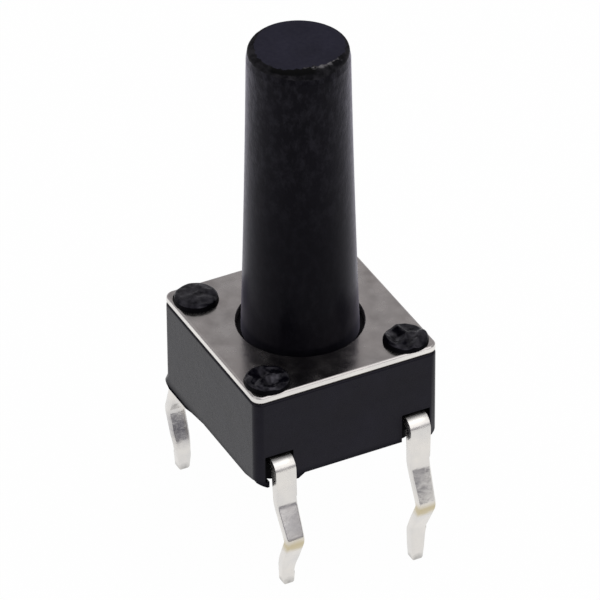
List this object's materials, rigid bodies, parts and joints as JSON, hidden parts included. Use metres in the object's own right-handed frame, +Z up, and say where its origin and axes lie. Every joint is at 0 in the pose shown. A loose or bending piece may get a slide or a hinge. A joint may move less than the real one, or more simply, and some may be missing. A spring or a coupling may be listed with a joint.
{
  "type": "tactile push button switch",
  "caption": "Square through-hole tactile switch with a staked metal cover, kinked snap-in leads and a tall tapered round button on a snap dome.",
  "frame": {"origin": "centre of the seating plane, where the underside of the base meets the circuit board", "axes": "+Z up along the button; +X and -X towards the two sides that the leads leave; +Y and -Y towards the plain sides"},
  "size_m": [0.0081, 0.006, 0.017],
  "materials": {
    "base_plastic": "fine satin, moulded",
    "cover_steel": "satin stamped sheet with bright sheared edges",
    "button_plastic": "semi-matte, moulded",
    "dome_steel": "bright spring sheet",
    "lead_metal": "silver plated, satin"
  },
  "bodies": {
    "housing": {"base": "base_plastic", "cover": "cover_steel", "dome": "dome_steel", "centre_terminal": "lead_metal", "fork_terminal": "lead_metal"},
    "plunger": {"button": "button_plastic"}
  },
  "joints": [
    {"name": "press", "type": "slide", "parent": "housing", "child": "plunger", "axis": [0, 0, -1], "range_m": [0, 0.00025], "stiffness_N_per_m": 6280, "deforming": ["dome"]}
  ]
}
